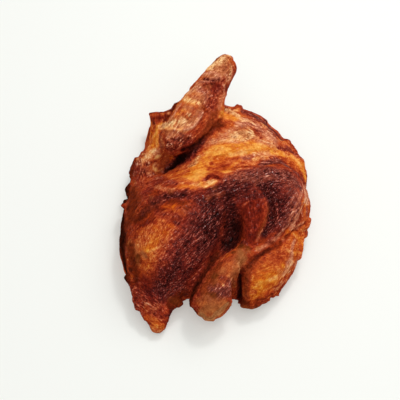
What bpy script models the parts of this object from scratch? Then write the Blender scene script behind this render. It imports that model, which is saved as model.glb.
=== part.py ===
"""Half a grilled chicken: breast, wing and folded leg in one piece, lying skin side up on its cut side.

The form is drawn in millimetres, with +X from the breastbone to the backbone, +Y from the tail to the neck
and +Z up from the cut side, and is then scaled to the driving dimensions in metres. The body is blocked out
with egg-shaped masses and tapering limbs, fused into one skin and relaxed. Strokes then press folds into
the skin or draw ridges out of it, a crinkle roughens it, and a level cut gives it the face it lies on.
"""

import math

import bmesh
import bpy
import numpy as np
from mathutils import Euler, Matrix, Vector, noise

NAME = "half_chicken"

# Driving dimensions, in metres: across the body, from the tail end to the tip of the wing, and high
WIDTH = 0.144
LENGTH = 0.225
HEIGHT = 0.064

# How the skin is made: grid of each fusing, and how long it is relaxed
TRUNK_CELL, TRUNK_RELAX = 2.4, 26
LIMB_CELL, LIMB_RELAX = 1.5, 8
SKIN_CELL, SKIN_RELAX = 1.4, 5
RELAX_SHARE = 0.5
LINE_STEPS = 6

# How it is cut and reduced: the first cut leaves some to spare below the level of the last one
SPARE = 3.0
TRIANGLES = 11300
CUT_SNAP = 0.35
SHORT_EDGE = 0.12

# Crinkle of the skin, and of its lower edge, where it is drawn in under the body
CRINKLES = ((17.0, 0.9), (8.0, 0.45))
EDGE_HEIGHT = 16.0
EDGE_CRINKLES = ((19.0, 2.2), (8.5, 1.5))
TUCK, TUCK_HEIGHT = 4.0, 11.0
CRINKLE_ORIGIN = Vector((31.0, 17.0, 5.0))

# Skin: colour, roughness
SKIN_COLOUR = (0.31, 0.085, 0.026, 1.0)
SKIN_ROUGHNESS = 0.42

# Masses of the trunk: centre, radii, yaw in degrees
TRUNK_MASSES = {
    "breast": ((-24, -32, 12), (42, 58, 45), -26),
    "breast_flank": ((-45, -28, 9), (28, 54, 33), -4),
    "saddle": ((6, -14, 10), (42, 30, 45), 0),
    "shoulder": ((5.5, 33, 2), (61, 60.5, 44), 3),
    "collar": ((-45, 18, 7), (23, 37, 24), -5),
    "neck": ((-34, 54, 8), (20, 31, 22), 12),
    "wing_seat": ((0, 66, 14), (30, 24, 22), 0),
    "back_edge": ((41, 30, 6), (33, 34, 24), 22),
    "thigh": ((43, -10, 8), (30, 41, 43), -12),
    "belly": ((8, -44, 6), (32, 34, 28), 0),
}

# Limbs, by their middle lines: stations, each a point and a radius
TRUNK_LIMBS = {
    "crest": (((-54, -20, 24), 13), ((-30, -10, 38), 14), ((0, -8, 42), 14), ((34, 0, 39), 14)),
    "keel_tip": (((-38.5, -60, 14), 21), ((-44.5, -84, 9), 14.5), ((-42.5, -105, 4), 7.5)),
}
SKIN_LIMBS = {
    "wing_arm": (((-30, 33, 47), 13), ((-20, 51, 50), 13), ((-10, 70, 51), 11.5), ((-2, 88, 50), 9.5),
                 ((9, 108.5, 46), 8.5)),
    "wing_flank": (((-21, 33, 45), 11.5), ((-11, 48, 46), 12), ((-3, 63, 46), 11), ((1, 80, 46), 9.5),
                   ((10.5, 105, 44), 9)),
    "wing_web": (((-28, 46, 30), 11), ((-14, 64, 30), 12), ((-4, 80, 30), 9)),
    "neck_fold": (((-50.5, 81, 19), 2.5), ((-43, 74, 19), 7), ((-31, 74, 23), 8.5), ((-17, 81, 30), 8)),
    "drumstick_end": (((24, -58, 33), 8), ((17, -66, 31), 10.5), ((5, -75, 25), 13.5), ((-3, -88, 17), 17.5)),
    "thigh_rim": (((42, 0, 42), 9), ((55, -14, 36), 11), ((49, -34, 34), 11), ((31, -56, 32), 8)),
    "shank": (((31, -14, 38), 11), ((28, -34, 36), 12), ((24, -56, 31), 9)),
}
SKIN_MASSES = {
    "rump": ((36, -53.5, 12), (23.5, 39.5, 27), -32),
}

# Strokes: how deep each presses for its reach (minus: raises), and stations, each a point and a reach
STROKES = {
    "pit": (0.46, (((12, -20, 54), 4), ((13, -32, 47), 8), ((12, -45, 37), 11.5), ((4, -58, 32), 8),
                  ((-6, -71, 31), 7), ((-16, -82, 27), 7), ((-21, -87, 8), 7))),
    "cleft": (1.1, (((22, -66, 38), 3), ((18, -75, 34), 6), ((16, -84, 24), 7), ((16, -90, 10), 8),
                    ((16, -92, -4), 8))),
    "thigh_fold": (0.5, (((72, -6, 24), 4), ((62, -30, 37), 5), ((50, -46, 38), 6), ((36, -59, 37), 6),
                         ((24, -68, 36), 4))),
    "shank_groove": (0.3, (((33, -13, 50), 4), ((41, -22, 47), 7), ((43, -32, 44), 8), ((38, -46, 40), 7),
                           ((29, -58, 40), 5))),
    "wing_groove": (0.6, (((-52, 15, 24), 3), ((-41, 18, 30), 5), ((-29, 22, 36), 8), ((-16, 30, 40), 8.5),
                          ((-5, 43, 41), 8), ((4, 57, 39), 7), ((9, 71, 33), 6))),
    "flank_groove": (0.25, (((-60, -52, 34), 5), ((-52, -40, 44), 9), ((-40, -31, 52), 10),
                            ((-20, -27, 57), 6))),
    "golden_valley": (0.16, (((-46, 0, 40), 8), ((-22, 2, 50), 14), ((6, 12, 52), 14), ((36, 20, 44), 10))),
    "tear": (0.5, (((-11, -6, 55), 3), ((-5, -7, 56), 4.5), ((1, -6, 56), 3))),
    "tendon": (-0.22, (((70, -12, 29), 3), ((59, -35, 41), 5), ((48, -48, 41), 5), ((34, -61, 40), 5),
                      ((22, -68, 39), 3))),
    "back_ridge": (-0.35, (((12, 60, 40), 4), ((34, 60, 32), 6), ((52, 42, 30), 4))),
    "crest_ridge": (-0.25, (((-62, -30, 28), 5), ((-44, -18, 46), 8), ((-12, -12, 56), 9), ((24, -4, 54), 9),
                            ((52, 2, 44), 6))),
    "left_notch": (0.7, (((-66, 26, 14), 3), ((-67, 23, 6), 5), ((-67, 22, -4), 5))),
    "neck_notch": (0.7, (((11, 80, 36), 3), ((13, 86, 24), 5), ((13, 85, 8), 5), ((13, 84, -4), 5))),
    "back_notch": (0.6, (((47, 50, 28), 3), ((53, 58, 16), 5), ((54, 58, -4), 5))),
    "tail_notch": (0.7, (((48, -76, 16), 2), ((48, -78, 6), 4), ((48, -78, -4), 4))),
}


def egg(bm, centre, radii, yaw):
    """A rounded mass on three radii, turned about the vertical."""
    place = Matrix.LocRotScale(Vector(centre), Euler((0, 0, math.radians(yaw))), Vector(radii))
    bmesh.ops.create_icosphere(bm, subdivisions=4, radius=1.0, matrix=place)


def through(stations):
    """A smooth line through the stations, Catmull-Rom, in rows of x, y, z and the stations' own number."""
    rows = np.array([(*point, size) for point, size in stations], float)
    padded = np.vstack([2 * rows[0] - rows[1], rows, 2 * rows[-1] - rows[-2]])
    line = []
    for k in range(len(rows) - 1):
        a, b, c, d = padded[k : k + 4]
        for t in np.linspace(0, 1, LINE_STEPS, endpoint=False):
            bend = (2 * a - 5 * b + 4 * c - d) * t**2 + (3 * b - a - 3 * c + d) * t**3
            line.append(b + 0.5 * ((c - a) * t + bend))
    line.append(rows[-1])
    return np.array(line)


def limb(bm, stations):
    """A tapering round limb, as closely spaced balls along its middle line."""
    for x, y, z, radius in through(stations):
        bmesh.ops.create_icosphere(bm, subdivisions=3, radius=radius, matrix=Matrix.Translation((x, y, z)))


def placed(name, mesh):
    obj = bpy.data.objects.new(name, mesh)
    bpy.context.scene.collection.objects.link(obj)
    return obj


def evaluated(obj):
    """The object's mesh with its modifiers applied. The object itself is removed."""
    bpy.context.view_layer.update()
    graph = bpy.context.evaluated_depsgraph_get()
    mesh = bpy.data.meshes.new_from_object(obj.evaluated_get(graph))
    bpy.data.objects.remove(obj)
    return mesh


def to_mesh(name, bm):
    mesh = bpy.data.meshes.new(name)
    bm.to_mesh(mesh)
    bm.free()
    return mesh


def fused(mesh, cell, relax_steps):
    """The mesh's shapes as one skin: remeshed together on a grid of that cell, then relaxed."""
    obj = placed(mesh.name, mesh)
    fuse = obj.modifiers.new("fuse", "REMESH")
    fuse.mode = "VOXEL"
    fuse.voxel_size = cell
    relax = obj.modifiers.new("relax", "SMOOTH")
    relax.factor = RELAX_SHARE
    relax.iterations = relax_steps
    return evaluated(obj)


def trunk():
    """The body without its limbs, relaxed until its masses run into each other."""
    bm = bmesh.new()
    for mass in TRUNK_MASSES.values():
        egg(bm, *mass)
    for stations in TRUNK_LIMBS.values():
        limb(bm, stations)
    return fused(to_mesh("trunk", bm), TRUNK_CELL, TRUNK_RELAX)


def with_limbs(mesh):
    bm = bmesh.new()
    bm.from_mesh(mesh)
    for mass in SKIN_MASSES.values():
        egg(bm, *mass)
    for stations in SKIN_LIMBS.values():
        limb(bm, stations)
    return fused(to_mesh("body", bm), LIMB_CELL, LIMB_RELAX)


def points_of(mesh):
    flat = np.zeros(len(mesh.vertices) * 3)
    mesh.vertices.foreach_get("co", flat)
    return flat.reshape(-1, 3)


def normals_of(mesh):
    flat = np.zeros(len(mesh.vertices) * 3)
    mesh.vertex_normals.foreach_get("vector", flat)
    return flat.reshape(-1, 3)


def moved_to(mesh, points):
    mesh.vertices.foreach_set("co", points.ravel())
    mesh.update()
    return mesh


def press_of(points, stations):
    """How far each point lies inside a stroke: its reach on the stroke's line, fading to 0 at that reach."""
    line = through(stations)
    press = np.zeros(len(points))
    for start, end in zip(line[:-1], line[1:]):
        along = end[:3] - start[:3]
        share = np.clip((points - start[:3]) @ along / (along @ along), 0, 1)
        reach = start[3] + share * (end[3] - start[3])
        away = np.linalg.norm(points - start[:3] - share[:, None] * along, axis=1) / reach
        press = np.maximum(press, reach * (1 - np.clip(away, 0, 1) ** 2) ** 2)
    return press


def stroked(mesh):
    """Presses each stroke into the skin along the skin's own normals, and evens the skin out again."""
    points = points_of(mesh)
    depth = np.zeros(len(points))
    for depth_for_reach, stations in STROKES.values():
        depth += depth_for_reach * press_of(points, stations)
    moved_to(mesh, points - normals_of(mesh) * depth[:, None])
    return fused(mesh, SKIN_CELL, SKIN_RELAX)


def crinkle(points, sizes):
    """Smooth noise at each point: a sum of waves, each with its length and its height."""
    return np.array([
        sum(height * noise.noise(Vector(point) / length + CRINKLE_ORIGIN) for length, height in sizes)
        for point in points
    ])


def crinkled(mesh):
    """Roughens the skin, and more so its lower edge, which is drawn in under the body."""
    points, normals = points_of(mesh), normals_of(mesh)
    level = normals * (1, 1, 0)
    edge = np.clip(1 - points[:, 2] / EDGE_HEIGHT, 0, 1)
    tuck = TUCK * np.clip(1 - points[:, 2] / TUCK_HEIGHT, 0, 1) ** 2
    shift = level * (edge * crinkle(points, EDGE_CRINKLES) - tuck)[:, None]
    return moved_to(mesh, points + normals * crinkle(points, CRINKLES)[:, None] + shift)


def cut_level(mesh, height):
    """Cuts off all that lies below a height, and closes the cut with a flat face."""
    bm = bmesh.new()
    bm.from_mesh(mesh)
    everything = bm.verts[:] + bm.edges[:] + bm.faces[:]
    bmesh.ops.bisect_plane(bm, geom=everything, dist=CUT_SNAP, plane_co=(0, 0, height),
                           plane_no=(0, 0, 1), clear_inner=True)
    for vert in bm.verts:
        if abs(vert.co.z - height) <= CUT_SNAP:
            vert.co.z = height
    bmesh.ops.dissolve_degenerate(bm, dist=SHORT_EDGE, edges=[edge for edge in bm.edges if edge.is_boundary])
    bmesh.ops.edgeloop_fill(bm, edges=[edge for edge in bm.edges if edge.is_boundary])
    bmesh.ops.triangulate(bm, faces=bm.faces)
    bmesh.ops.recalc_face_normals(bm, faces=bm.faces)
    return to_mesh(mesh.name, bm)


def reduced(mesh):
    """The same form in fewer triangles."""
    obj = placed(mesh.name, mesh)
    decimate = obj.modifiers.new("reduce", "DECIMATE")
    decimate.ratio = TRIANGLES / len(mesh.polygons)
    return evaluated(obj)


def sized(mesh):
    """Scales the drawn form to the driving dimensions and puts the middle of its base at the origin."""
    points = points_of(mesh)
    low, high = points.min(axis=0), points.max(axis=0)
    middle = (low + high) / 2
    middle[2] = low[2]
    return moved_to(mesh, (points - middle) * ((WIDTH, LENGTH, HEIGHT) / (high - low)))


def skin_material():
    material = bpy.data.materials.new(NAME)
    material.use_nodes = True
    shader = material.node_tree.nodes["Principled BSDF"]
    shader.inputs["Base Color"].default_value = SKIN_COLOUR
    shader.inputs["Roughness"].default_value = SKIN_ROUGHNESS
    shader.inputs["Metallic"].default_value = 0.0
    return material


def main():
    for old in list(bpy.data.objects):
        bpy.data.objects.remove(old)
    skin = crinkled(stroked(with_limbs(trunk())))
    mesh = sized(cut_level(reduced(cut_level(skin, -SPARE)), 0.0))
    mesh.shade_smooth()
    mesh.materials.append(skin_material())
    placed(NAME, mesh)


main()
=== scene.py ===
"""Looks of a grilled half chicken: crinkled, browned and charred skin, on a pale floor in soft light.

The skin is one fine mesh laid over the solid. Its browning and its relief are worked out for each of its
points from noise and from named strokes, whose stations are pixels of the photograph's 400 x 400 frame, cast
from the photograph's viewpoint on to the solid. Some strokes are painted shade, in hollows, under the wing
and along dark edges, and some are painted highlights, on ridges, tendons and the middles of lobes. The colour
is also darker in the hollows of the fine relief and lighter on its tops, as painted shade and highlight. The
material turns the browning into colour, and paints glints on the tops of streaks and pebbles.
Lengths inside the script are millimetres, and the meshes are metres.
"""

import math

import bmesh
import bpy
import numpy as np
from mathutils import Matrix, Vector
from mathutils.bvhtree import BVHTree


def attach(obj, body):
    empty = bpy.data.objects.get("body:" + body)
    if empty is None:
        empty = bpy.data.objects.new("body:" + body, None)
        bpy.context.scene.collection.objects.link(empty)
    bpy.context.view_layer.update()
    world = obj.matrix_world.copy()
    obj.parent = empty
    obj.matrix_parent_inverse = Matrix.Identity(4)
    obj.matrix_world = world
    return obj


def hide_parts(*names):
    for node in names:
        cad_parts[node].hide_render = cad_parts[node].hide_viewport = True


NODE = "half_chicken"
MM = 0.001

# The photograph's view: scale at the object, where the part's origin shows, elevation, and distance in metres
FRAME_PX = 400
MM_PER_PX = 0.75
ORIGIN_PX = (215.6, 207.8)
ELEVATION = math.radians(55)
CAMERA_AWAY = 1.15
MIDDLE = Vector((0.0, -0.0125, 0.03))
SENSOR = 36.0
FLOOR_DROP, FLOOR_REACH = 0.0002, 3.0
RIGHT = Vector((1, 0, 0))
UP = Vector((0, math.sin(ELEVATION), math.cos(ELEVATION)))
BACK = Vector((0, -math.cos(ELEVATION), math.sin(ELEVATION)))

# The skin's mesh: its cells, how it is relaxed, and how high its level underside reaches and faces
CELL = 0.86
RELAX_SHARE, RELAX_STEPS = 0.5, 10
UNDERSIDE = 0.5
UNDERSIDE_FACES = -0.6
LEVEL = 0.001

# Pixels between the spots of a stroke, and its longest step along the skin; where one is longer, it stops
SPOT_STEP = 3.0
JUMP = 14.0

# How a stroke, a rim and a dab fade: (slope, share that is left at their reach, raggedness)
STROKE_FADE = (0.95, 0.2, 0.5)
RIM_FADE = (1.2, 0.1, 0.2)
DAB_FADE = (1.1, 0.15, 0.2)

# Noise and layers of noise on the skin: (height or share, size, seed)
BLOTCHES, FLUSHES, TATTERS, LUMPS = (0.18, 26.0, 31), (0.5, 19.0, 35), (0.7, 7.0, 51), (0.4, 9.0, 3)
RAGS = ((0.5, 2.6, 57), (0.4, 1.4, 59))
RUN_RAG = 0.3
SWELLS = ((0.22, 4.2, 8),)
GRIT = ((0.14, 2.1, 21), (0.12, 1.3, 25))
CREASES = ((2.0, 3.2, 71),)
CREPE = ((0.6, 1.6, 75),)
CREPE_LEVEL = 0.6
BUMPS = (0.9, 2.2, 11)
BREAKS = ((0.25, 5.5, 27), (0.2, 2.4, 29))
EDGE_CRINKLES = ((0.9, 7.5, 61), (0.8, 3.4, 65), (0.4, 1.8, 69))

# How high bumps, streaks and wrinkles are, at least and for each kind's share of them, and how much painted
# shade and highlight they give, darker in their hollows and lighter on their tops
BUMP_LEAST, BUMP_MORE, RUN_LEAST, RUN_MORE, CREPE_MOST = 0.15, 0.4, 0.06, 0.2, 0.3
FINE_SHADE_AND_HIGHLIGHT = 0.3

# Heights above the floor up to which the skin is darker towards the floor, dull and crinkled outward
DARKENED_TO, DULL_TO, CRINKLED_TO = 4.0, 12.0, 9.0
# Its browning at the floor, and how much it tends to that; how much less it is crinkled at smooth edges
FOOT_BROWNING, FOOT_SHARE = 0.88, 0.6
CALM_SHARE = 0.7

# How much the walls of hollows are evened out, in how many steps
EVEN_SHARE, EVEN_STEPS = 0.7, 60

# Patterns in the skin's material: streaks as (width, stretch), sizes, and how much each changes the browning
FINE_STREAKS, BROAD_STREAKS, WRINKLE_STREAKS = (0.9, 5.0), (2.2, 4.0), (1.9, 2.6)
SPECKLE_SIZE, MOTTLE_SIZE, PEBBLE_SIZE, FAT_SIZE, GRIT_SIZE = 1.1, 4.0, 1.15, 1.3, 0.9
# On the next line, the last share; on the line after, the last paleness; and the colour below: painted
# highlight, a lighter pale pink on the tops of streaks and pebbles that stands in for glints
SPECKLE_BROWNS, MOTTLE_BROWNS, RUN_BROWNS, WRINKLE_BROWNS, GLINT_BROWNS = 0.55, 0.14, 0.55, 0.7, 0.3
BROAD_SHARE, RUN_STRENGTH, MOTTLE_REDDENS, GLINT_PALENESS = 0.5, 2.0, 0.5, 0.35
GLINT_COLOUR = (214, 132, 120)
BUMP_HEIGHT = 0.0007

# The traits of a kind of skin that are used by their place
BROWN, RED, PEBBLED, STREAKED, WRINKLED, OILY = 0, 1, 4, 5, 6, 7

# The tables have one kind of skin, or one stroke, a line, as name: numbers: stations. A station is x, y and
# reach in pixels. A kind has no stations.

# Kinds of skin: browning, redness, tan, mauve, pebbles, streaks, wrinkles and fat
# The next kind is painted shade with some char: near-black for dark edges and the hollows beside them
# The next kind is painted shade: near-black put into hollows, clefts and the gap under the wing
KINDS = """
cream: .05 .1 .45 .08 0 1.4 .5 .5:
pale: .11 .1 .25 .1 .1 .8 .2 .5:
yellow: .17 0 .12 0 .1 .5 .1 .4:
gold: .24 0 .08 0 .1 .5 .1 .4:
peach: .22 .7 .25 .12 .8 .9 .5 .45:
amber: .33 .1 0 0 .1 .7 0 .12:
orange: .38 .4 0 0 .1 .8 .1 .12:
scarlet: .34 .58 0 0 .2 .9 .2 .14:
rust: .49 .48 0 .03 .2 .7 .1 .25:
russet: .46 .35 .4 .2 .2 .6 .2 .4:
clay: .48 .25 .4 .05 .1 .3 0 .3:
pink: .3 .9 .25 .4 .5 .9 .4 .55:
brick: .55 .85 0 .08 .8 .9 .3 .4:
blood: .67 .75 0 0 .2 .6 0 .2:
mauve: .63 .9 .05 .55 .9 1 .1 .5:
brown: .6 .2 .15 .05 .2 .4 .1 .2:
umber: .7 .15 .05 .05 .3 .4 .1 .1:
dusk: .86 .1 .05 .1 .4 .3 0 0:
plum: .74 .98 0 .28 1 .9 .1 .45:
char: .84 .9 0 .25 1 .9 .1 .3:
soot: 1 .5 0 .2 .3 .1 0 0:
tan: .25 .15 .75 .08 .2 1.6 .9 .45:
ochre: .53 0 .6 0 .1 .3 0 .1:
olive: .5 0 .7 0 .1 .2 0 .1:
bone: .42 0 .95 0 .3 .3 .2 .15:
rose: .27 .55 .2 .75 .3 1 .3 .4:
honey: .44 0 .45 0 .2 .3 .1 .15:
moss: .74 0 .45 0 .1 .3 0 .05:
ember: .46 .1 0 0 .1 .7 0 .08:
wine: .8 .8 0 0 .2 .5 0 .08:
flaky: .5 .75 .15 .25 1 2 .4 .7:
"""
BASE_TONE = "rust"
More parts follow.
